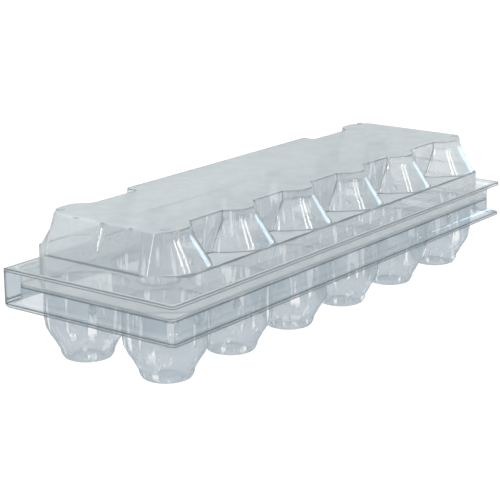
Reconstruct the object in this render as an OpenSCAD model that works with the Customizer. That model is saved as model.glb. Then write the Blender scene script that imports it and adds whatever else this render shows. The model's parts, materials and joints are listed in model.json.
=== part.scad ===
/* [Carton] */
// Length over the flanges
carton_l = 300; // [300:1:306]
// Width over the flanges
carton_w = 105; // [105:0.1:105.4]
// Thickness of the formed sheet
sheet_t = 0.8; // [0.6:0.1:0.9]
// Radius of the front corners of both flanges
flange_corner_r = 3.5; // [3:0.5:6]

/* [Heights] */
// Feet to the top of the tray flange
tray_h = 29; // [27:0.2:32]
// Tray flange to lid flange, which is the width of the hinge strip
strip_h = 17.6; // [16:0.2:20]
// Lid flange to the flat top of the lid
lid_h = 27.6; // [26:0.2:30]
// Tray flange to the top of the tray rim
rim_h = 8.3; // [7:0.1:9]
// Lid flange to the break line where the domes start to lean in
lid_wall_h = 8.9; // [8:0.1:10]

/* [Egg cells] */
// Distance between cell centres along the carton
pitch = 48.8; // [48:0.1:49]
// Distance of each row of cells from the middle line
row_y = 25.4; // [25.2:0.1:25.4]
// Outer radius of a cup at its mouth
cup_mouth_r = 21.2; // [20:0.1:21.2]
// Outer radius of the round bowl at the bottom of a cup
cup_bowl_r = 13.2; // [12:0.1:14]
// Outer radius of the flat foot ring
cup_foot_r = 9.6; // [9:0.1:10]
// Height of the hollow under each foot
cup_dimple_h = 1.6; // [1:0.1:2]

/* [Centre posts] */
// Height of a post above the deck of the tray
post_h = 34.6; // [30:0.2:34.8]
// Radius of a post where it leaves the deck
post_foot_r = 10.6; // [10:0.1:11]
// Radius of a post at its top
post_top_r = 6.8; // [6:0.1:7.5]

/* [Lid domes] */
// Half width of a dome across its flats at the break line
dome_low = 21.5; // [21:0.1:21.5]
// Half width of a dome across its flats at its shoulder
dome_high = 12.6; // [12:0.1:13.5]
// Lean of the end panels between the break line and their top
end_lean = 6; // [5:0.1:8]
// Distance of the valley walls from the middle line
valley_y = 30.2; // [29.8:0.1:30.3]
// Height of the upright shoulder round the flat top
shoulder_h = 4.4; // [4:0.1:5]
// Height of the stacking lugs on the corners of the lid
lug_h = 0.6; // [0.4:0.1:0.6]

/* [Hidden] */
$fn = 64;
cell_count = 6;
front = -1;
back = 1;
left = -1;
right = 1;

rim_inset = 4.2;
rim_t = 1.4;
rim_corner_r = 6;
lip_h = 0.8;
hinge_gap = 0.3;
parting_gap = 0.4;
through = 1;

deck_z = tray_h + rim_h;
lid_flange_z = tray_h + strip_h;
lid_top_z = lid_flange_z + lid_h;
break_z = lid_flange_z + lid_wall_h;
shoulder_z = lid_top_z - shoulder_h;
skirt_z = break_z - sheet_t;
lid_rim_z = deck_z + parting_gap;

rim_x = carton_l / 2 - rim_inset;
rim_y = carton_w / 2 - rim_inset;
wall_x = rim_x - rim_t;
wall_y = rim_y - rim_t;
end_x = cell_x(cell_count);
facet_x = end_x + dome_low * tan(22.5);
facet_y = valley_y + 1;
lean = dome_low - dome_high;
panel_high_x = cell_x(cell_count - 1) + dome_high * tan(22.5);
panel_low_x = panel_high_x + lean;

// Centre of cell k along the carton, counted from the left
function cell_x(k) = (k - (cell_count + 1) / 2) * pitch;

// Rounded rectangle about the origin
module rounded_plan(half_x, half_y, corner_r) {
    square([2 * half_x, 2 * (half_y - corner_r)], center = true);
    square([2 * (half_x - corner_r), 2 * half_y], center = true);
    for (sx = [-1, 1], sy = [-1, 1])
        translate([sx * (half_x - corner_r), sy * (half_y - corner_r)]) circle(corner_r);
}

// Rounded rectangle prism about the origin, from z0 to z1
module slab(half_x, half_y, corner_r, z0, z1) {
    translate([0, 0, z0]) linear_extrude(z1 - z0) rounded_plan(half_x, half_y, corner_r);
}

// Ring of the given wall thickness inside a rounded rectangle
module ring(half_x, half_y, corner_r, wall, z0, z1) {
    difference() {
        slab(half_x, half_y, corner_r, z0, z1);
        slab(half_x - wall, half_y - wall, corner_r - wall, z0 - through, z1 + through);
    }
}

// Box between two corners
module region(low, high) {
    translate(low) cube(high - low);
}

// One cup's wall, from the flat foot ring up to its mouth at the deck
module cup_shell() {
    step_z = 5.6;
    cone_z = 18;
    outer = [
        [0, cup_dimple_h], [cup_foot_r - 3.4, cup_dimple_h], [cup_foot_r - 2.2, 0],
        [cup_foot_r, 0], [cup_bowl_r - 1.2, 1.2], [cup_bowl_r, 3.2], [cup_bowl_r + 0.3, step_z],
        [cup_bowl_r + 1.1, step_z + 0.6], [cup_mouth_r - 0.7, cone_z], [cup_mouth_r, deck_z]
    ];
    inner = [for (i = [len(outer) - 1 : -1 : 0])
        [max(0, outer[i][0] - sheet_t), min(deck_z, outer[i][1] + sheet_t)]];
    rotate_extrude() polygon(concat(outer, inner));
}

// Cell k of a row: a cup hanging from its share of the deck
module cell(k, row) {
    low_x = k == 1 ? -wall_x : cell_x(k) - pitch / 2;
    high_x = k == cell_count ? wall_x : cell_x(k) + pitch / 2;
    translate([cell_x(k), row * row_y, 0]) cup_shell();
    difference() {
        intersection() {
            slab(wall_x, wall_y, rim_corner_r - rim_t, deck_z - sheet_t, deck_z);
            region([low_x, row < 0 ? -wall_y : 0, deck_z - sheet_t],
                [high_x, row < 0 ? 0 : wall_y, deck_z]);
        }
        translate([cell_x(k), row * row_y, deck_z - sheet_t - through])
            cylinder(r = cup_mouth_r - sheet_t / 2, h = sheet_t + 2 * through);
        for (j = [1 : cell_count - 1])
            translate([cell_x(j) + pitch / 2, 0, deck_z - sheet_t - through])
                cylinder(r = post_foot_r, h = sheet_t + 2 * through);
    }
}

// Tall hollow post between four cells, standing in its hole in the deck
module post(j) {
    round_h = 2.4;
    outer = [
        [post_foot_r, deck_z - sheet_t], [post_foot_r, deck_z], [post_top_r, deck_z + post_h - round_h],
        [post_top_r - 1.8, deck_z + post_h], [0, deck_z + post_h]
    ];
    inner = [
        [0, deck_z + post_h - sheet_t], [post_top_r - 2.3, deck_z + post_h - sheet_t],
        [post_top_r - sheet_t, deck_z + post_h - round_h], [post_foot_r - sheet_t, deck_z],
        [post_foot_r - sheet_t, deck_z - sheet_t]
    ];
    translate([cell_x(j) + pitch / 2, 0, 0]) rotate_extrude() polygon(concat(outer, inner));
}

// Plan of the lid's wall, with its corners cut off, and every side moved in by d
module wall_plan(d) {
    x0 = facet_x - d * tan(22.5);
    x1 = wall_x - d;
    y0 = facet_y - d * tan(22.5);
    y1 = wall_y - d;
    polygon([[x1, -y0], [x1, y0], [x0, y1], [-x0, y1], [-x1, y0], [-x1, -y0], [-x0, -y1], [x0, -y1]]);
}

// Plan of a flange moved in by d: rounded at its front corners and square along the hinge
module flange_plan(d) {
    half_x = carton_l / 2 - d;
    half_y = carton_w / 2 - d;
    rounded_plan(half_x, half_y, flange_corner_r - d);
    translate([-half_x, 0]) square([2 * half_x, half_y]);
}

// Flat flange round an opening of the given plan, with its edge turned down except along the hinge
module flange(z) {
    half_x = carton_l / 2;
    half_y = carton_w / 2;
    difference() {
        union() {
            translate([0, 0, z - sheet_t]) linear_extrude(sheet_t) difference() {
                flange_plan(0);
                children();
            }
            translate([0, 0, z - sheet_t - lip_h]) linear_extrude(sheet_t + lip_h) difference() {
                flange_plan(0);
                flange_plan(sheet_t);
            }
        }
        region([-half_x - through, half_y - flange_corner_r, z - sheet_t - lip_h - through],
            [half_x + through, half_y + through, z - sheet_t]);
    }
}

// Round snap buttons on the outside of the tray rim: two at each end of the front, one on each end
module snap_buttons() {
    button_r = 2.6;
    button_out = 0.9;
    button_z = tray_h + 5.2;
    color([0.86, 0.89, 0.91]) {
        for (x = [-2.6, -2, 2, 2.6])
            translate([x * pitch, -rim_y - button_out, button_z])
                rotate([-90, 0, 0]) cylinder(r1 = button_r - 0.9, r2 = button_r, h = button_out);
        for (side = [-1, 1])
            translate([side * (rim_x + button_out), 0, button_z])
                rotate([0, -side * 90, 0]) cylinder(r1 = button_r - 0.9, r2 = button_r, h = button_out);
    }
}

// Upright strip that joins the back edges of the two flanges
module hinge_strip() {
    color([0.84, 0.87, 0.90])
        region([-carton_l / 2, carton_w / 2 - sheet_t, tray_h + hinge_gap],
            [carton_l / 2, carton_w / 2, lid_flange_z - sheet_t - hinge_gap]);
}

// Eight-sided block, given by its half widths across the flats
module octagon_block(low, high, z0, z1) {
    to_corner = 1 / cos(22.5);
    translate([0, 0, z0]) rotate([0, 0, 22.5])
        cylinder(r1 = low * to_corner, r2 = high * to_corner, h = z1 - z0, $fn = 8);
}

// One dome, with every face moved in by d
module dome_solid(d) {
    octagon_block(dome_low - d, dome_high - d, break_z, shoulder_z);
    octagon_block(dome_high - d, dome_high - d, shoulder_z, lid_top_z - d);
    octagon_block(dome_low - d, dome_low - d, skirt_z - d, break_z);
}

// Plan of a corner dome about its cell's centre: eight-sided, but drawn out to meet the end panel
module corner_plan(half, reach, d) {
    flat = (half - d) * tan(22.5);
    edge = facet_y - row_y - d * tan(22.5);
    polygon([
        [-half + d, -flat], [-half + d, flat], [-flat, half - d], [flat, half - d],
        [reach - d, edge], [reach - d, -edge], [flat, -half + d], [-flat, -half + d]
    ]);
}

// One corner dome, with every face moved in by d
module corner_solid(d) {
    low_reach = wall_x - end_x;
    high_reach = low_reach - end_lean;
    hull() {
        translate([0, 0, skirt_z - d]) linear_extrude(break_z - skirt_z + d)
            corner_plan(dome_low, low_reach, d);
        translate([0, 0, shoulder_z]) linear_extrude(0.1) corner_plan(dome_high, high_reach, d);
    }
    translate([0, 0, shoulder_z]) linear_extrude(lid_top_z - d - shoulder_z)
        corner_plan(dome_high, high_reach, d);
}

// Long block at the back that takes the place of the four middle domes, with every face moved in by d
module back_solid(d) {
    inner_y = valley_y - through;
    outer_y = row_y + dome_high;
    hull() {
        region([-panel_low_x + d, inner_y, skirt_z - d], [panel_low_x - d, outer_y + lean - d, break_z]);
        region([-panel_high_x + d, inner_y, shoulder_z],
            [panel_high_x - d, outer_y - d, shoulder_z + 0.1]);
    }
    region([-panel_high_x + d, inner_y, shoulder_z], [panel_high_x - d, outer_y - d, lid_top_z - d]);
}

// Keeps the part of its children between two corners in plan, from the skirts up
module crown_region(low, high) {
    intersection() {
        children();
        region([low[0], low[1], skirt_z], [high[0], high[1], lid_top_z]);
    }
}

module front_cup(k) { color([0.85, 0.88, 0.90]) cell(k, front); }
module back_cup(k) { color([0.85, 0.88, 0.90]) cell(k, back); }
module centre_post(j) { color([0.80, 0.84, 0.87]) post(j); }

module tray_rim() {
    color([0.82, 0.86, 0.89])
        ring(rim_x, rim_y, rim_corner_r, rim_t, tray_h, deck_z);
}

module tray_flange() {
    color([0.78, 0.82, 0.86]) flange(tray_h)
        rounded_plan(wall_x, wall_y, rim_corner_r - rim_t);
}

module lid_flange() {
    color([0.78, 0.82, 0.86]) flange(lid_flange_z) wall_plan(0);
}

module lid_rim() {
    color([0.82, 0.86, 0.89])
        ring(rim_x, rim_y, rim_corner_r, rim_t, lid_rim_z, lid_flange_z - sheet_t);
}

module lid_wall() {
    color([0.84, 0.88, 0.91]) translate([0, 0, lid_rim_z]) difference() {
        linear_extrude(skirt_z - lid_rim_z) wall_plan(0);
        translate([0, 0, -through]) linear_extrude(skirt_z - lid_rim_z + 2 * through) wall_plan(sheet_t);
    }
}

// Small level ledges on top of the wall, between the feet of the domes
module lid_ledges() {
    half_facet = dome_low * tan(22.5);
    ledge_y = row_y + half_facet;
    color([0.84, 0.88, 0.91]) {
        for (k = [1 : cell_count - 1])
            ledge([
                [cell_x(k) + half_facet, -wall_y], [cell_x(k) + dome_low, -ledge_y],
                [cell_x(k) + dome_low, -valley_y], [cell_x(k + 1) - dome_low, -valley_y],
                [cell_x(k + 1) - dome_low, -ledge_y], [cell_x(k + 1) - half_facet, -wall_y]
            ]);
        for (side = [0, 1]) mirror([side, 0, 0])
            ledge([
                [end_x - half_facet, wall_y], [end_x - dome_low, ledge_y],
                [end_x - dome_low, valley_y], [panel_low_x, valley_y], [panel_low_x, wall_y]
            ]);
    }
}

// One level ledge with the given outline
module ledge(outline) {
    translate([0, 0, skirt_z]) linear_extrude(sheet_t) polygon(outline);
}

// Dome k of a row, outside the valley walls
module dome(k, row) {
    low_y = row < 0 ? -carton_w / 2 : valley_y;
    high_y = row < 0 ? -valley_y : carton_w / 2;
    at_end = k == 1 || k == cell_count;
    color([0.88, 0.91, 0.93]) crown_region([-carton_l / 2, low_y], [carton_l / 2, high_y])
        translate([cell_x(k), row * row_y, 0]) mirror([k == 1 ? 1 : 0, 0, 0]) difference() {
            if (at_end) corner_solid(0); else dome_solid(0);
            if (at_end) corner_solid(sheet_t); else dome_solid(sheet_t);
        }
}

module front_dome(k) { dome(k, front); }
module back_dome(k) { dome(k, back); }

module back_panel() {
    color([0.88, 0.91, 0.93]) crown_region([-carton_l / 2, valley_y], [carton_l / 2, carton_w / 2])
        difference() {
            back_solid(0);
            back_solid(sheet_t);
        }
}

// Leaning panel across one end of the lid, between its two corner domes
module end_panel(side) {
    low_x = wall_x;
    high_x = wall_x - end_lean;
    color([0.88, 0.91, 0.93]) mirror([side < 0 ? 1 : 0, 0, 0]) rotate([90, 0, 0])
        linear_extrude(2 * valley_y, center = true) polygon([
            [end_x, lid_top_z], [high_x, lid_top_z], [high_x, shoulder_z], [low_x, break_z],
            [low_x, skirt_z], [low_x - sheet_t, skirt_z], [low_x - sheet_t, break_z],
            [high_x - sheet_t, shoulder_z], [high_x - sheet_t, lid_top_z - sheet_t],
            [end_x, lid_top_z - sheet_t]
        ]);
}

// One upright wall between two leaning sides, given by their places at the break line and above
module valley_wall(low_x0, low_x1, high_x0, high_x1, row) {
    inner_y = valley_y - sheet_t;
    translate([0, row < 0 ? -inner_y : valley_y, 0]) rotate([90, 0, 0]) linear_extrude(sheet_t)
        polygon([
            [low_x0, skirt_z], [low_x1, skirt_z], [low_x1, break_z], [high_x1, shoulder_z],
            [high_x1, lid_top_z - sheet_t], [high_x0, lid_top_z - sheet_t],
            [high_x0, shoulder_z], [low_x0, break_z]
        ]);
}

// Upright walls at the valleys between neighbouring domes
module valley_walls() {
    low = dome_low - sheet_t;
    high = dome_high - sheet_t;
    color([0.84, 0.88, 0.91]) {
        for (k = [1 : cell_count - 1])
            valley_wall(cell_x(k) + low, cell_x(k + 1) - low, cell_x(k) + high, cell_x(k + 1) - high, front);
        for (side = [0, 1]) mirror([side, 0, 0])
            valley_wall(cell_x(1) + low, -panel_low_x + sheet_t, cell_x(1) + high,
                -panel_high_x + sheet_t, back);
    }
}

module lid_top() {
    color([0.90, 0.92, 0.94])
        region([-end_x, -valley_y, lid_top_z - sheet_t], [end_x, valley_y, lid_top_z]);
}

// Low round lugs on the four corners of the lid that keep a stacked carton in place
module stacking_lugs() {
    lug_r = 2.2;
    color([0.80, 0.84, 0.87]) for (sx = [-1, 1], sy = [-1, 1])
        translate([sx * (end_x + dome_high - 4), sy * (row_y + 7.1), lid_top_z])
            cylinder(r1 = lug_r, r2 = lug_r - 0.4, h = lug_h);
}

front_cup(1);  // front_cup_1
front_cup(2);  // front_cup_2
front_cup(3);  // front_cup_3
front_cup(4);  // front_cup_4
front_cup(5);  // front_cup_5
front_cup(6);  // front_cup_6
back_cup(1);  // back_cup_1
back_cup(2);  // back_cup_2
back_cup(3);  // back_cup_3
back_cup(4);  // back_cup_4
back_cup(5);  // back_cup_5
back_cup(6);  // back_cup_6
centre_post(1);  // centre_post_1
centre_post(2);  // centre_post_2
centre_post(3);  // centre_post_3
centre_post(4);  // centre_post_4
centre_post(5);  // centre_post_5
tray_rim();
tray_flange();
snap_buttons();
hinge_strip();
lid_flange();
lid_rim();
lid_wall();
lid_ledges();
front_dome(1);  // front_dome_1
front_dome(2);  // front_dome_2
front_dome(3);  // front_dome_3
front_dome(4);  // front_dome_4
front_dome(5);  // front_dome_5
front_dome(6);  // front_dome_6
back_dome(1);  // back_dome_1
back_panel();
back_dome(6);  // back_dome_6
end_panel(left);  // left_end_panel
end_panel(right);  // right_end_panel
valley_walls();
lid_top();
stacking_lugs();
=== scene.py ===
import json
import math

import bmesh
import bpy
import numpy as np
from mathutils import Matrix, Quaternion, Vector


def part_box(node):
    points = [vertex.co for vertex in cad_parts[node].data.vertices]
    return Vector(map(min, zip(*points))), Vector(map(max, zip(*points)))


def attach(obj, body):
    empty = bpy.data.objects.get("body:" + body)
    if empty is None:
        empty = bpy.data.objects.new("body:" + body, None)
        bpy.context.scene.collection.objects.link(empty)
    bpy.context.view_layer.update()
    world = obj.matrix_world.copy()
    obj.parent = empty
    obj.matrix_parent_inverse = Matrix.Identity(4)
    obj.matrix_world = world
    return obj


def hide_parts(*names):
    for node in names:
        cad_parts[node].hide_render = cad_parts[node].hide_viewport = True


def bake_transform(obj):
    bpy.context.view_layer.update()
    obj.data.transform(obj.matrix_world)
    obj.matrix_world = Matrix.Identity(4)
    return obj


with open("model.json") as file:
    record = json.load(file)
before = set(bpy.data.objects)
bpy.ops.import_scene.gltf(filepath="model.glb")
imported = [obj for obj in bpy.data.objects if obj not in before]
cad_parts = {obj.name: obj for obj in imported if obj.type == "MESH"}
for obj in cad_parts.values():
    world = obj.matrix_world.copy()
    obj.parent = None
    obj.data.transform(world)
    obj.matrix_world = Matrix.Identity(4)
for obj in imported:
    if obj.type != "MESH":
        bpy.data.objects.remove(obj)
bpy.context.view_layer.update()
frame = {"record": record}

scene = bpy.context.scene

MM = 0.001
SHEET = 0.35 * MM                 # thickness of the formed sheet
SKIN = SHEET / 2                  # from a CAD face to the middle of the sheet behind it
EIGHTH = math.tan(math.radians(22.5))   # half of an octagon's side, for a half width of 1

# ---------------------------------------------------------------- sizes from the frame
flange_x, flange_y, tray_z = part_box("tray_flange")[1]
rim_x, rim_y, deck_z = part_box("tray_rim")[1]
wall_x, wall_y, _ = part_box("lid_wall")[1]
lid_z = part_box("lid_flange")[1].z
parting_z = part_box("lid_rim")[0].z
break_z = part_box("lid_ledges")[1].z
top_x, valley_y, top_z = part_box("lid_top")[1]
panel_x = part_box("back_panel")[1].x
dome_boxes = [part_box("front_dome_%d" % k) for k in range(1, 7)]
post_boxes = [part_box("centre_post_%d" % k) for k in range(1, 6)]
cell_x = [(low.x + high.x) / 2 for low, high in dome_boxes]
dome_low = (dome_boxes[0][1].x - dome_boxes[0][0].x) / 2
row_y = -dome_boxes[0][0].y - dome_low

dome_high = 12.6 * MM             # half width of a dome at its shoulder
end_lean = 6 * MM                 # how far the end panels lean in below the shoulder
facet_y = valley_y + 1 * MM       # where the end panels meet the corner domes' facets
shoulder_z = top_z - 4.4 * MM     # foot of the upright shoulder round the flat top
lip_drop = 1.6 * MM               # how far the flanges' edges are turned down
flare_out = 2.0 * MM              # how far a ridge flares out before it meets its flange
flare_up = 2.3 * MM
fold_long = 1.6 * MM              # how much of the hinge strip's height each fold takes
fold_back = 0.6 * MM              # how far each fold runs in along its flange


# ---------------------------------------------------------------- outlines and their softening
def softened(path, reach, closed):
    """Rounds a polyline's corners: each point becomes the mean of the line within reach of it."""
    path = np.asarray(path, float)
    count = len(path)
    if closed:
        line = np.vstack([path, path, path, path[:1]])
        first = count
    else:
        line = np.vstack([2 * path[0] - path[:0:-1], path, 2 * path[-1] - path[-2::-1]])
        first = count - 1
    step = np.linalg.norm(np.diff(line, axis=0), axis=1)
    length = np.concatenate([[0], np.cumsum(step)])
    sums = np.vstack([0 * line[:1], np.cumsum((line[1:] + line[:-1]) / 2 * step[:, None], axis=0)])
    slope = np.diff(line, axis=0) / np.maximum(step, 1e-9)[:, None]

    def total(at):
        k = np.clip(np.searchsorted(length, at, side="right") - 1, 0, len(step) - 1)
        along = (at - length[k])[:, None]
        return sums[k] + line[k] * along + slope[k] * along ** 2 / 2

    centre = length[first:first + count]
    reach = np.broadcast_to(np.asarray(reach, float), (count,))
    return (total(centre + reach) - total(centre - reach)) / (2 * reach)[:, None]


def row_corners(side, half, valley, end):
    """Corners of the lid's outline along the front (side -1) or back (side 1), from left to right.

    Each is a place on the domes, the same place on a straight band round them, which of the band's
    limits it lies on, in x and in y, and whether it is one of the broadly rounded front edges.
    """
    valley_out = 1.2 * MM             # on the band, the valley's corner lies this far past the dome
    facet_in = 4 * MM                 # and its facet's corner this far inside it
    panel_apart = 2.5 * MM            # the same two corners at the ends of the back panel
    flat = half * EIGHTH
    facet = dome_low * EIGHTH
    corners = []

    def add(x, y, band_x, band_y, on_x=0, on_y=0, broad=0):
        corners.append((x, side * y, band_x, side * band_y, on_x, side * on_y, broad))

    def side_of_dome(x, turn):
        at_the_end = (x + turn * dome_low) * turn > top_x
        if at_the_end:
            middle_x = (turn * end + x + turn * flat) / 2
            add(turn * end, facet_y, 0, facet_y, on_x=turn)
            add(middle_x, (facet_y + row_y + half) / 2, 0, 0, on_x=turn, on_y=1)
        else:
            add(x + turn * half, valley, x + turn * (dome_low + valley_out), 0, on_y=1)
            add(x + turn * half, row_y + flat, x + turn * (dome_low - facet_in), 0, on_y=1)

    for k, x in enumerate(cell_x):
        if side > 0 and 0 < k < len(cell_x) - 1:
            continue
        if side > 0 and k == len(cell_x) - 1:
            reach_x = panel_x - dome_low + half
            add(-reach_x, valley, -panel_x - panel_apart, 0, on_y=1)
            add(-reach_x, row_y + half, -panel_x + panel_apart, 0, on_y=1)
            add(reach_x, row_y + half, panel_x - panel_apart, 0, on_y=1)
            add(reach_x, valley, panel_x + panel_apart, 0, on_y=1)
        side_of_dome(x, -1)
        add(x - flat, row_y + half, x - facet, 0, on_y=1, broad=1)
        add(x + flat, row_y + half, x + facet, 0, on_y=1, broad=1)
        start = len(corners)
        side_of_dome(x, 1)
        corners[start:] = reversed(corners[start:])
    return corners


def outline_corners(half=dome_low, valley=valley_y, end=wall_x):
    """Both rows' corners, as one closed outline."""
    front = row_corners(-1, half, valley, end)
    back = row_corners(1, half, valley, end)
    return np.array(front + back[::-1])


def sample_counts():
    """How many points each side of the outline gets: close together where it turns or is grooved."""
    grooved_step, plain_step = 0.8 * MM, 2.2 * MM
    corners = outline_corners()
    counts = []
    for a, b in zip(corners, np.roll(corners, -1, axis=0)):
        length = math.dist(a[:2], b[:2])
        on_end_panel = a[4] != 0 and a[4] == b[4] and a[5] == 0 and b[5] == 0
        counts.append(round(length / grooved_step) if on_end_panel else 6 + round(length / plain_step))
    return counts


COUNTS = sample_counts()


def spread(corners):
    """Points along a closed outline, closer together towards each corner."""
    crowding = 0.65
    points = []
    for a, b, count in zip(corners, np.roll(corners, -1, axis=0), COUNTS):
        t = np.arange(count) / count
        t = (1 - crowding) * t + crowding * (0.5 - 0.5 * np.cos(np.pi * t))
        points.append(a + (b - a) * t[:, None])
    return np.vstack(points)


def crown_outline(half, valley, end, reach, broad_reach):
    """The scalloped outline of the domes, back panel and end panels at one height.

    Its corners are rounded over reach, and the broad ones over broad_reach.
    """
    path = spread(outline_corners(half, valley, end)[:, [0, 1, 6]])
    return softened(path[:, :2], reach + (broad_reach - reach) * path[:, 2], True)


def band_outline(half_x, half_y, reach, cut=False, back_reach=None):
    """A rectangle round the domes, with its corners cut off or just rounded.

    back_reach rounds it differently along the hinge.
    """
    corners = outline_corners()
    band = corners[:, 2:4] + corners[:, 4:6] * [half_x, half_y]
    if cut:
        for k in np.flatnonzero((corners[:, 4] != 0) & (corners[:, 5] != 0)):
            band[k] = (band[k - 1] + band[(k + 1) % len(band)]) / 2
    path = spread(band)
    if back_reach:
        reach = np.where(path[:, 1] > 0, back_reach, reach)
    return softened(path, reach, True)


def flange_edge():
    """The edge of either flange: rounded in front, almost square where the hinge joins it."""
    return band_outline(flange_x - SKIN, flange_y - SKIN, 2.8 * MM, back_reach=0.4 * MM)


def ridge_outlines():
    """The upright ridge inside either flange, and the line where it has flared out to meet it."""
    ridge = band_outline(rim_x - SKIN, rim_y - SKIN, 4.7 * MM)
    flare = band_outline(rim_x + flare_out, rim_y + flare_out, 4 * MM)
    return ridge, flare


def loft(stations):
    """Rows of points through a list of (outline, height, rows to the next, roundness)."""
    rows, reaches = [], []
    for (a, za, count, ra), (b, zb, _, rb) in zip(stations, stations[1:]):
        za = np.broadcast_to(za, (len(a),))
        zb = np.broadcast_to(zb, (len(b),))
        for k in range(count):
            t = 0.5 - 0.5 * math.cos(math.pi * k / count)
            rows.append(np.column_stack([a + (b - a) * t, za + (zb - za) * t]))
            reaches.append(ra + (rb - ra) * t)
    outline, z, _, reach = stations[-1]
    rows.append(np.column_stack([outline, np.broadcast_to(z, (len(outline),))]))
    reaches.append(reach)
    grid = np.array(rows)
    for column in range(grid.shape[1]):
        grid[:, column] = softened(grid[:, column], reaches, False)
    return grid


# ---------------------------------------------------------------- meshes
class Sheet:
    """The middle of a formed sheet, gathered as points and faces and then given its thickness."""

    def __init__(self):
        self.points = []
        self.faces = []

    def add_points(self, points):
        start = len(self.points)
        self.points.extend(map(tuple, points))
        return list(range(start, len(self.points)))

    def add_grid(self, grid):
        """Joins rows of points that each close on themselves. Returns the first and last rows."""
        rows = [self.add_points(row) for row in grid]
        for a, b in zip(rows, rows[1:]):
            for k in range(len(a)):
                n = (k + 1) % len(a)
                self.faces.append((a[k], a[n], b[n], b[k]))
        return rows[0], rows[-1]

    def close_fan(self, ring, centre):
        """Closes a small ring with a fan of faces from its centre."""
        tip = self.add_points([centre])[0]
        for k in range(len(ring)):
            self.faces.append((ring[k], ring[(k + 1) % len(ring)], tip))

    def fill_level(self, rings):
        """Fills the level region that these rings bound, leaving the inner ones open."""
        fill = bmesh.new()
        index = {}
        edges = []
        for ring in rings:
            corners = [fill.verts.new(self.points[i]) for i in ring]
            index.update(zip(corners, ring))
            edges += [fill.edges.new((a, b)) for a, b in zip(corners, corners[1:] + corners[:1])]
        bmesh.ops.triangle_fill(fill, use_beauty=True, use_dissolve=False, edges=edges)
        self.faces += [tuple(index[v] for v in face.verts) for face in fill.faces]
        fill.free()

    def piece(self, name):
        """A closed mesh object with the sheet's thickness."""
        flat = bmesh.new()
        verts = [flat.verts.new(p) for p in self.points]
        for face in self.faces:
            flat.faces.new([verts[i] for i in face])
        bmesh.ops.recalc_face_normals(flat, faces=flat.faces)
        flat.normal_update()
        out = bmesh.new()
        upper = [out.verts.new(v.co + v.normal * SHEET / 2) for v in flat.verts]
        lower = [out.verts.new(v.co - v.normal * SHEET / 2) for v in flat.verts]
        flat.verts.index_update()
        for face in flat.faces:
            ids = [v.index for v in face.verts]
            out.faces.new([upper[i] for i in ids])
            out.faces.new([lower[i] for i in reversed(ids)])
        for edge in flat.edges:
            if edge.is_boundary:
                face = edge.link_faces[0]
                a, b = edge.verts
                around = list(face.verts)
                if around[(around.index(a) + 1) % len(around)] != b:
                    a, b = b, a
                out.faces.new([upper[b.index], upper[a.index], lower[a.index], lower[b.index]])
        flat.free()
        return mesh_object(name, out)


def vertex_places(mesh):
    """The mesh's vertices as rows of x, y and z."""
    places = np.empty(len(mesh.vertices) * 3)
    mesh.vertices.foreach_get("co", places)
    return places.reshape(-1, 3)


def store(mesh, name, values):
    """Stores one number for each vertex, under a name that a material can read."""
    mesh.attributes.new(name, "FLOAT", "POINT").data.foreach_set("value", values)


def mark_folds(mesh, limit):
    """Stores how tightly the surface is folded at each vertex, and how upright it stands there.

    "fold" is the turn of the surface in radians per millimetre, up to limit. "upright" is 0 on
    level sheet and 1 on steep walls. The material paints shade along tight folds and on steep
    walls from them.
    """
    count = len(mesh.vertices)
    ends = np.empty(len(mesh.edges) * 2, int)
    mesh.edges.foreach_get("vertices", ends)
    start, end = ends.reshape(-1, 2).T
    places = vertex_places(mesh)
    normals = np.empty(count * 3)
    mesh.vertex_normals.foreach_get("vector", normals)
    normals = normals.reshape(-1, 3)
    length = np.linalg.norm(places[end] - places[start], axis=1)
    turn = np.linalg.norm(normals[end] - normals[start], axis=1)
    tightness = turn * MM / np.maximum(length, 0.05 * MM)
    fold = np.zeros(count)
    np.maximum.at(fold, start, tightness)
    np.maximum.at(fold, end, tightness)
    store(mesh, "fold", np.minimum(fold, limit))
    store(mesh, "upright", np.clip(1.3 - 1.6 * np.abs(normals[:, 2]), 0, 1))


def mark_painted_highlight_walls(mesh):
    """Stores where the tray was drawn down or up into cups and posts, inside its ridge: the walls on
    which the material paints highlight streaks.
    """
    clear_of_wall = 0.5 * MM
    drawn = np.empty(len(mesh.vertices))
    mesh.attributes["upright"].data.foreach_get("value", drawn)
    x, y, _ = np.abs(vertex_places(mesh)).T
    drawn *= (x < wall_x - clear_of_wall) & (y < wall_y - clear_of_wall)
    store(mesh, "drawn", drawn)


def mesh_object(name, built, sharp=50, fold_limit=2.0):
    """Turns a bmesh into an object with smooth faces, sharp where they meet at over sharp degrees."""
    mesh = bpy.data.meshes.new(name)
    built.to_mesh(mesh)
    built.free()
    mesh.shade_smooth()
    mesh.set_sharp_from_angle(angle=math.radians(sharp))
    mark_folds(mesh, fold_limit)
    made = bpy.data.objects.new(name, mesh)
    scene.collection.objects.link(made)
    return made


def lathe_rows(profile, steps, reach, around, centre):
    """Rows of a turned shape from a profile of (radius, height), softened along its length.

    steps says how many rows each stretch of the profile gets, and around how many points a row has.
    """
    line = []
    for (r0, z0), (r1, z1), count in zip(profile, profile[1:], steps):
        line += [(r0 + (r1 - r0) * k / count, z0 + (z1 - z0) * k / count) for k in range(count)]
    line.append(profile[-1])
    line = softened(line, reach, False)
    turn = np.arange(around) * 2 * np.pi / around
    ring = np.column_stack([np.cos(turn), np.sin(turn)])
    return [np.column_stack([np.array(centre) + ring * r, np.full(around, z)]) for r, z in line]


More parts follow.
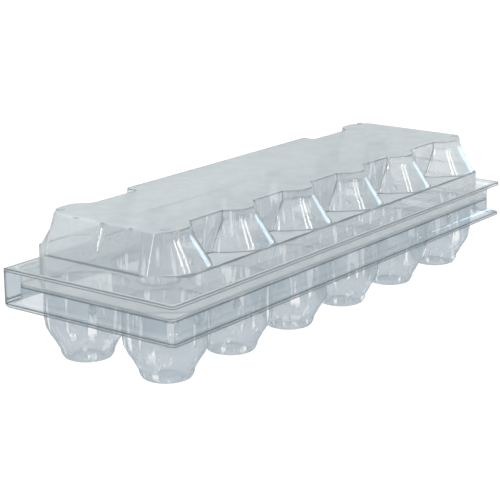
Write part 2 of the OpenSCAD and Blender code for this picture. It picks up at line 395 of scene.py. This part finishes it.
# ---------------------------------------------------------------- the lid
def groove_ends(grid):
    """Narrow upright grooves in the two leaning end panels."""
    groove_deep, groove_wide, groove_apart = 1.0 * MM, 1.0 * MM, 17 * MM
    x, y, z = grid[..., 0], grid[..., 1], grid[..., 2]
    on_end = (np.abs(y) < facet_y - 4 * MM) & (np.abs(x) > top_x + 10 * MM)
    fade = np.clip((z - break_z - 2 * MM) / (3 * MM), 0, 1) * np.clip((top_z - z) / (2 * MM), 0, 1)
    places = (-groove_apart, 0, groove_apart)
    dip = sum(np.exp(-((y - place) / groove_wide) ** 2) for place in places)
    grid[..., 0] -= np.sign(x) * on_end * fade * dip * groove_deep
    return grid


def lip_depth(edge):
    """How far a flange's edge is turned down at each point of its outline: hardly along the hinge."""
    depth = np.where(edge[:, 1] > flange_y - 1 * MM, 0.2 * MM, lip_drop)
    return softened(np.column_stack([edge, depth]), 2 * MM, True)[:, 2]


def build_lid():
    """The whole lid: from its flat top down the domes and the wall, and out to the flange's edge."""
    sheet = Sheet()
    top = top_z - SKIN
    level = lid_z - SKIN
    panel_top = wall_x - end_lean - SKIN
    valley = valley_y - SKIN
    half = dome_high - SKIN
    inside = crown_outline(half - 3 * MM, valley - 3 * MM, panel_top - 5 * MM, 1.5 * MM, 2.4 * MM)
    brow = crown_outline(half, valley, panel_top - 1.6 * MM, 1.9 * MM, 3.2 * MM)
    shoulder = crown_outline(half, valley, panel_top, 2.0 * MM, 3.8 * MM)
    foot = crown_outline(dome_low - 0.7 * MM, valley, wall_x - SKIN, 2.4 * MM, 5.5 * MM)
    wall = band_outline(wall_x - SKIN, wall_y - SKIN, 2.2 * MM, cut=True)
    ridge, flare = ridge_outlines()
    edge = flange_edge()
    grid = loft([
        (inside, top, 5, 1.1 * MM),
        (brow, top, 7, 1.1 * MM),
        (shoulder, shoulder_z, 13, 1.0 * MM),
        (foot, break_z - SKIN, 4, 0.5 * MM),
        (wall, break_z - SKIN, 10, 0.5 * MM),
        (wall, parting_z + SKIN, 5, 0.6 * MM),
        (ridge, parting_z + SKIN, 6, 0.6 * MM),
        (ridge, level - flare_up, 4, 0.7 * MM),
        (flare, level, 4, 0.7 * MM),
        (edge, level, 4, 0.45 * MM),
        (edge, level - lip_depth(edge), 1, 0.3 * MM),
    ])
    first, _ = sheet.add_grid(groove_ends(grid))
    sheet.fill_level([first])
    return sheet.piece("lid_sheet")


# ---------------------------------------------------------------- the tray
def build_tray():
    """The whole tray: from its flange's edge in to the deck, with the cups and posts drawn in it."""
    sheet = Sheet()
    level = tray_z - SKIN
    deck = deck_z - SKIN
    edge = flange_edge()
    ridge, flare = ridge_outlines()
    wall = band_outline(wall_x - SKIN, wall_y - SKIN, 3.6 * MM)
    _, inside = sheet.add_grid(loft([
        (edge, level - lip_depth(edge), 4, 0.3 * MM),
        (edge, level, 4, 0.45 * MM),
        (flare, level, 4, 0.7 * MM),
        (ridge, level + flare_up, 6, 0.7 * MM),
        (ridge, deck, 5, 0.5 * MM),
        (wall, deck, 1, 0.3 * MM),
    ]))
    rings = [inside]

    # (radius, height) of a cup in millimetres, from its mouth down to the dimple in its foot
    cup_profile = [
        (21.1, deck / MM), (20.5, deck / MM), (20.6, 21), (20.0, 17), (18.3, 13.5), (15.9, 10),
        (14.1, 6.4), (13.3, 5.6), (13.0, 3.2), (11.8, 1.0), (9.6, 0.18), (7.3, 0.18), (6.1, 1.5),
        (1.2, 1.5)
    ]
    cup_steps = [3, 8, 3, 3, 3, 3, 3, 3, 3, 3, 3, 3, 3]
    for x in cell_x:
        for side in (-1, 1):
            rows = lathe_rows(np.array(cup_profile) * MM, cup_steps, 0.55 * MM, 72, (x, side * row_y))
            mouth, foot = sheet.add_grid(rows)
            sheet.close_fan(foot, (x, side * row_y, rows[-1][0][2]))
            rings.append(mouth)
    for low, high in post_boxes:
        x = (low.x + high.x) / 2
        foot_r = (high.x - low.x) / 2
        top = high.z - SKIN
        profile = [
            (foot_r + 0.8 * MM, deck), (foot_r - SKIN, deck), (6.7 * MM, top - 3.5 * MM),
            (5.2 * MM, top), (0.8 * MM, top)
        ]
        rows = lathe_rows(profile, [3, 10, 5, 4], 0.7 * MM, 40, (x, 0))
        mouth, tip = sheet.add_grid(rows)
        sheet.close_fan(tip, (x, 0, rows[-1][0][2]))
        rings.append(mouth)
    sheet.fill_level(rings)
    made = sheet.piece("tray_sheet")
    mark_painted_highlight_walls(made.data)
    return made


# ---------------------------------------------------------------- hinge strip
def strip_piece(name, profile, reach, half_x):
    """A strip along the back with the given profile of (y, z), as a closed thin sheet."""
    columns = 120
    line = softened(profile, reach, False)
    normals = np.gradient(line, axis=0)
    normals = np.column_stack([normals[:, 1], -normals[:, 0]])
    normals /= np.linalg.norm(normals, axis=1)[:, None]
    ring = np.vstack([line + normals * SHEET / 2, (line - normals * SHEET / 2)[::-1]])
    built = bmesh.new()
    slices = []
    for x in np.linspace(-half_x, half_x, columns):
        slices.append([built.verts.new((x, y, z)) for y, z in ring])
    count = len(ring)
    for a, b in zip(slices, slices[1:]):
        for k in range(count):
            n = (k + 1) % count
            built.faces.new((a[k], b[k], b[n], a[n]))
    half = len(line)
    for end, flip in ((slices[0], False), (slices[-1], True)):
        for k in range(half - 1):
            quad = [end[k], end[k + 1], end[count - 2 - k], end[count - 1 - k]]
            built.faces.new(quad[::-1] if flip else quad)
    bmesh.ops.recalc_face_normals(built, faces=built.faces)
    return mesh_object(name, built)


def build_hinge():
    """The upright hinge panel, and the two folds that join it to the tray and to the lid."""
    half_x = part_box("hinge_strip")[1].x
    y = flange_y - SKIN
    tray_level, lid_level = tray_z - SKIN, lid_z - SKIN
    panel_long = lid_level - tray_level - 2 * fold_long
    steps = np.linspace(0, 1, 9)
    panel_path = [(y, tray_level + fold_long + t * panel_long) for t in steps]
    panel = strip_piece("hinge_panel", panel_path, 0.3 * MM, half_x)
    low_path = [(y - fold_back + fold_back * t, tray_level) for t in steps[:-1]]
    low_path += [(y, tray_level + fold_long * t) for t in steps]
    low_fold = strip_piece("tray_fold", low_path, 0.4 * MM, half_x)
    high_path = [(y, lid_level - fold_long + fold_long * t) for t in steps[:-1]]
    high_path += [(y - fold_back * t, lid_level) for t in steps]
    high_fold = strip_piece("lid_fold", high_path, 0.4 * MM, half_x)
    return panel, low_fold, high_fold


# ---------------------------------------------------------------- small formed details
def lathe_solid(built, profile, around, place):
    """Adds a closed turned solid to a bmesh; place turns a point of it into the carton's frame."""
    rings = []
    for r, h in profile:
        angles = [2 * math.pi * k / around for k in range(around)]
        rings.append([built.verts.new(place(r * math.cos(a), r * math.sin(a), h)) for a in angles])
    for a, b in zip(rings, rings[1:]):
        for k in range(around):
            n = (k + 1) % around
            built.faces.new((a[k], a[n], b[n], b[k]))
    built.faces.new(rings[0][::-1])
    built.faces.new(rings[-1])


def build_buttons():
    """Round snap buttons, as shallow domes on the outside of the tray's ridge."""
    low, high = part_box("snap_buttons")
    button_r = (high.z - low.z) / 2
    out = high.x - rim_x
    z = (low.z + high.z) / 2
    profile = [
        (button_r * math.cos(t), out * 0.96 * math.sin(t)) for t in np.linspace(0, 0.47 * math.pi, 8)
    ]
    built = bmesh.new()
    pitch = cell_x[1] - cell_x[0]
    for x in (-2.6 * pitch, -2 * pitch, 2 * pitch, 2.6 * pitch):    # the front's four
        lathe_solid(built, profile, 28, lambda a, b, h: (x + a, -rim_y - h, z + b))
    for side in (-1, 1):
        lathe_solid(built, profile, 28, lambda a, b, h: (side * (rim_x + h), a, z + b))
    bmesh.ops.recalc_face_normals(built, faces=built.faces)
    return mesh_object("snap_buttons_formed", built, sharp=60, fold_limit=1.3)


def build_lugs():
    """Low round lugs on the corners of the lid's top."""
    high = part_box("stacking_lugs")[1]
    lug_r = 2.2 * MM
    height = high.z - top_z
    profile = [
        (lug_r, 0), (lug_r - 0.1 * MM, 0.5 * height), (lug_r - 0.3 * MM, 0.85 * height),
        (lug_r - 0.8 * MM, height)
    ]
    built = bmesh.new()
    for side_x in (-1, 1):
        for side_y in (-1, 1):
            x, y = side_x * (high.x - lug_r), side_y * (high.y - lug_r)
            lathe_solid(built, profile, 32, lambda a, b, h: (x + a, y + b, top_z + h))
    bmesh.ops.recalc_face_normals(built, faces=built.faces)
    return mesh_object("stacking_lugs_formed", built, sharp=60, fold_limit=1.3)


# ---------------------------------------------------------------- materials
def clear_plastic(name, body, edge, cloud, wave, painted_wall_shade):
    """Clear formed plastic: see-through, a little cloudy, glossy, and with painted shade along folds
    and edges.

    body is the colour of flat sheet and edge the colour of the painted shade along folds and
    edges, cloud is how much of the light one face holds back face on, wave is the strength of the
    sheet's unevenness and the last argument is how much painted shade, towards edge, its upright
    walls get. Pale upright streaks on the deeply drawn walls are painted highlights.
    """
    material = bpy.data.materials.new(name)
    material.use_nodes = True
    tree = material.node_tree
    tree.nodes.clear()

    def node(kind, **values):
        made = tree.nodes.new(kind)
        for key, value in values.items():
            setattr(made, key, value)
        return made

    def feed(socket, value):
        if isinstance(value, bpy.types.NodeSocket):
            tree.links.new(value, socket)
        else:
            socket.default_value = value

    def maths(operation, *values, clamp=False):
        made = node("ShaderNodeMath", operation=operation, use_clamp=clamp)
        for socket, value in zip(made.inputs, values):
            feed(socket, value)
        return made.outputs[0]

    def ramp(value, low, high, to_low, to_high):
        made = node("ShaderNodeMapRange", interpolation_type="SMOOTHSTEP")
        for socket, given in zip(made.inputs, (value, low, high, to_low, to_high)):
            feed(socket, given)
        return made.outputs[0]

    def noise(scale, detail, where):
        made = node("ShaderNodeTexNoise")
        feed(made.inputs["Scale"], scale)
        feed(made.inputs["Detail"], detail)
        feed(made.inputs["Vector"], where)
        return made.outputs["Fac"]

    def measure(name):
        return node("ShaderNodeAttribute", attribute_name=name).outputs["Fac"]

    def blend(amount, a, b):
        made = node("ShaderNodeMixShader")
        for socket, value in zip(made.inputs, (amount, a, b)):
            feed(socket, value)
        return made.outputs[0]

    place = node("ShaderNodeTexCoord").outputs["Object"]
    flow = noise(95, 1, place)
    specks = noise(260, 1, place)
    # Painted highlights: pale upright streaks on the drawn walls of the tray, standing in for
    # reflections.
    drawn_out = node("ShaderNodeVectorMath", operation="MULTIPLY")
    feed(drawn_out.inputs[0], place)
    feed(drawn_out.inputs[1], (1, 1, 0.14))
    painted_highlight = ramp(noise(290, 1, drawn_out.outputs[0]), 0.57, 0.64, 0, 0.95)
    painted_highlight = maths("MULTIPLY", painted_highlight, measure("drawn"))
    bump = node("ShaderNodeBump")
    feed(bump.inputs["Strength"], wave)
    feed(bump.inputs["Distance"], 0.6 * MM)
    feed(bump.inputs["Height"], flow)

    facing = node("ShaderNodeLayerWeight")
    feed(facing.inputs["Blend"], 0.5)
    aslant = facing.outputs["Facing"]
    # Painted shade: the colour darkens towards edge along tight folds, where the sheet is seen edge on,
    # and on upright walls, and the sheet is made less clear there.
    fold = ramp(measure("fold"), 0.8, 1.7, 0, 1)
    painted_limb_shade = maths("POWER", aslant, 7.0)
    painted_shade = maths("MAXIMUM", painted_limb_shade, maths("MULTIPLY", fold, 0.85))
    painted_shade = maths("MAXIMUM", painted_shade, maths("MULTIPLY", measure("upright"), painted_wall_shade))

    def tint(amount, a, b):
        made = node("ShaderNodeMix", data_type="RGBA")
        feed(made.inputs[0], amount)
        feed(made.inputs[6], a)
        feed(made.inputs[7], b)
        return made.outputs[2]

    # The colour turns towards edge where shade is painted, and to white where highlights are painted.
    colour = tint(painted_highlight, tint(painted_shade, (*body, 1), (*edge, 1)), (1, 1, 1, 1))
    diffuse = node("ShaderNodeBsdfDiffuse")
    feed(diffuse.inputs["Color"], colour)
    through = node("ShaderNodeBsdfTranslucent")
    feed(through.inputs["Color"], colour)
    haze = blend(0.5, diffuse.outputs[0], through.outputs[0])

    clear = node("ShaderNodeBsdfTransparent")
    feed(clear.inputs["Color"], (0.985, 0.990, 0.992, 1))
    thickness = maths("MULTIPLY_ADD", maths("POWER", aslant, 4.5), 1 - cloud, cloud)
    thickness = maths("MULTIPLY", thickness, ramp(flow, 0.3, 0.7, 0.94, 1.05))
    # Painted shade and painted highlights make the sheet less clear where they lie.
    thickness = maths("MAXIMUM", thickness, maths("MULTIPLY", painted_shade, 0.8))
    thickness = maths("MAXIMUM", thickness, painted_highlight, clamp=True)
    sheet = blend(thickness, clear.outputs[0], haze)

    mirror = node("ShaderNodeBsdfGlossy")
    feed(mirror.inputs["Roughness"], maths("MULTIPLY_ADD", specks, 0.03, 0.04))
    feed(mirror.inputs["Normal"], bump.outputs[0])
    shine = maths("MULTIPLY_ADD", maths("POWER", aslant, 4.0), 0.18, 0.06)
    output = node("ShaderNodeOutputMaterial")
    feed(output.inputs["Surface"], blend(shine, sheet, mirror.outputs[0]))
    return material


def floor_material():
    """Plain pale paper, without any shine."""
    material = bpy.data.materials.new("floor_paper")
    material.use_nodes = True
    paper = material.node_tree.nodes["Principled BSDF"]
    paper.inputs["Base Color"].default_value = (0.93, 0.93, 0.93, 1)
    paper.inputs["Roughness"].default_value = 1.0
    paper.inputs["Specular IOR Level"].default_value = 0.0
    return material


# ---------------------------------------------------------------- building the carton
# The lid, the tray and the hinge are one plastic. The lid's lighter body and the darker bodies of the
# tray and the hinge are painted light and shade: lit and shaded copies of one material. The edge
# colours are the painted shade of folds, edges and upright walls.
lid_plastic = clear_plastic(
    "lid_plastic", body=(0.74, 0.78, 0.785), edge=(0.08, 0.105, 0.115), cloud=0.35, wave=0.3, painted_wall_shade=0.32)
tray_plastic = clear_plastic(
    "tray_plastic", body=(0.45, 0.515, 0.56), edge=(0.08, 0.105, 0.12), cloud=0.34, wave=0.4, painted_wall_shade=0.0)
hinge_plastic = clear_plastic(
    "hinge_plastic", body=(0.46, 0.52, 0.555), edge=(0.10, 0.125, 0.14), cloud=0.6, wave=0.3, painted_wall_shade=0.0)

lid_nodes = list(frame["record"]["behaviour"]["bodies"]["lid"])
tray_nodes = list(frame["record"]["behaviour"]["bodies"]["tray"])
lid_nodes.remove("stacking_lugs")
tray_nodes.remove("snap_buttons")

lid = build_lid()
tray = build_tray()
hinge_panel, tray_fold, lid_fold = build_hinge()
buttons = build_buttons()
lugs = build_lugs()

for piece, material, body, slot, nodes in (
    (lid, lid_plastic, "lid", "lid_sheet", lid_nodes),
    (tray, tray_plastic, "tray", "cup_sheet", tray_nodes),
    (hinge_panel, hinge_plastic, "hinge", "flange_sheet", ["hinge_strip"]),
    (buttons, tray_plastic, "tray", "flange_sheet", ["snap_buttons"]),
    (lugs, lid_plastic, "lid", "lid_sheet", ["stacking_lugs"]),
    (tray_fold, hinge_plastic, None, "flange_sheet", []),
    (lid_fold, hinge_plastic, None, "flange_sheet", []),
):
    piece.data.materials.append(material)
    # The pieces don't shade or tint each other, and only the tray casts a shadow: thin clear
    # sheet hardly does, and the haze in its material would.
    piece.visible_diffuse = False
    piece.visible_shadow = piece == tray
    if body:
        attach(piece, body)
        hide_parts(*nodes)

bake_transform(tray_fold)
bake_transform(lid_fold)

# ---------------------------------------------------------------- floor and light
floor_mesh = bpy.data.meshes.new("floor")
floor_mesh.from_pydata([(-8, -8, 0), (8, -8, 0), (8, 8, 0), (-8, 8, 0)], [], [(0, 1, 2, 3)])
floor = bpy.data.objects.new("floor", floor_mesh)
floor.location.z = -0.05 * MM     # just below the feet, so that the two don't share a plane
floor_mesh.materials.append(floor_material())
scene.collection.objects.link(floor)


def studio_world():
    """A pale studio: bright overhead, greyer towards the walls."""
    world = bpy.data.worlds.new("studio")
    world.use_nodes = True
    tree = world.node_tree
    height = tree.nodes.new("ShaderNodeSeparateXYZ")
    tree.links.new(tree.nodes.new("ShaderNodeTexCoord").outputs["Generated"], height.inputs[0])
    ramp = tree.nodes.new("ShaderNodeValToRGB")
    ramp.color_ramp.interpolation = "EASE"
    walls, ceiling = ramp.color_ramp.elements
    walls.position, walls.color = 0.35, (0.34, 0.36, 0.38, 1)
    ceiling.position, ceiling.color = 0.85, (1.0, 1.0, 1.0, 1)
    tree.links.new(height.outputs["Z"], ramp.inputs[0])
    sky = tree.nodes["Background"]
    tree.links.new(ramp.outputs[0], sky.inputs["Color"])
    sky.inputs["Strength"].default_value = 1.75
    return world


scene.world = studio_world()


def strip_light(name, azimuth, low, high, width, colour, glow):
    """A studio strip seen only as a reflection.

    Its bearing, its lowest and highest point and its width are angles in degrees, as the carton
    sees them. glow is its brightness.
    """
    distance = 1.6
    data = bpy.data.lights.new(name, "AREA")
    data.shape = "RECTANGLE"
    data.size = 2 * distance * math.tan(math.radians(width / 2))
    data.size_y = 2 * distance * math.tan(math.radians((high - low) / 2))
    data.color = colour
    data.energy = glow * math.pi * data.size * data.size_y
    lamp = bpy.data.objects.new(name, data)
    across, up = math.radians(azimuth), math.radians((low + high) / 2)
    direction = Vector((math.cos(up) * math.cos(across), math.cos(up) * math.sin(across), math.sin(up)))
    lamp.location = Vector((0, 0, break_z)) + direction * distance
    lamp.rotation_mode = "QUATERNION"
    lamp.rotation_quaternion = direction.to_track_quat("Z", "Y")
    lamp.visible_diffuse = False
    lamp.visible_transmission = False
    scene.collection.objects.link(lamp)


BLUE, CREAM, PINK = (0.42, 0.70, 1.0), (1.0, 0.95, 0.86), (1.0, 0.88, 0.86)
for light in (
    # name, bearing, lowest and highest point, width, colour and glow
    ("strip_left", -163, 6, 50, 8, CREAM, 8),
    ("strip_front_left", -94, 6, 48, 7, CREAM, 8),
    ("strip_front", -70, 10, 46, 6, CREAM, 8),
    ("window_blue_near", -18, 2, 23, 11, BLUE, 8),
    ("window_bar", -8, 1, 23, 4, CREAM, 8),
    ("window_blue_far", 3, 1, 20, 14, BLUE, 8),
    ("strip_high", 4, 34, 42, 7, PINK, 7),
):
    strip_light(*light)

# ---------------------------------------------------------------- camera, at the photo's angle
camera_data = bpy.data.cameras.new("camera")
camera_data.sensor_width = 36
camera_data.lens = 114.4
camera_data.clip_start = 0.05
camera_data.clip_end = 60
camera = bpy.data.objects.new("camera", camera_data)
azimuth, elevation = math.radians(-54.11), math.radians(15.62)
back = Vector((math.sin(azimuth) * math.cos(elevation),
               -math.cos(azimuth) * math.cos(elevation), math.sin(elevation)))
# Aims the camera a little to one side, which puts the carton where the photo has it.
turn_to_frame = Quaternion((0, 1, 0), math.radians(0.97)) @ Quaternion((1, 0, 0), math.radians(0.08))
distance = 0.848
camera.location = Vector((0, 0, tray_z)) + back * distance
camera.rotation_mode = "QUATERNION"
camera.rotation_quaternion = back.to_track_quat("Z", "Y") @ turn_to_frame
scene.collection.objects.link(camera)
scene.camera = camera

scene.view_settings.view_transform = "Standard"
# A line of sight can pass through many layers of clear sheet before it reaches the floor.
scene.cycles.transparent_max_bounces = 64
scene.cycles.max_bounces = 10
scene.cycles.caustics_reflective = False
scene.cycles.caustics_refractive = False
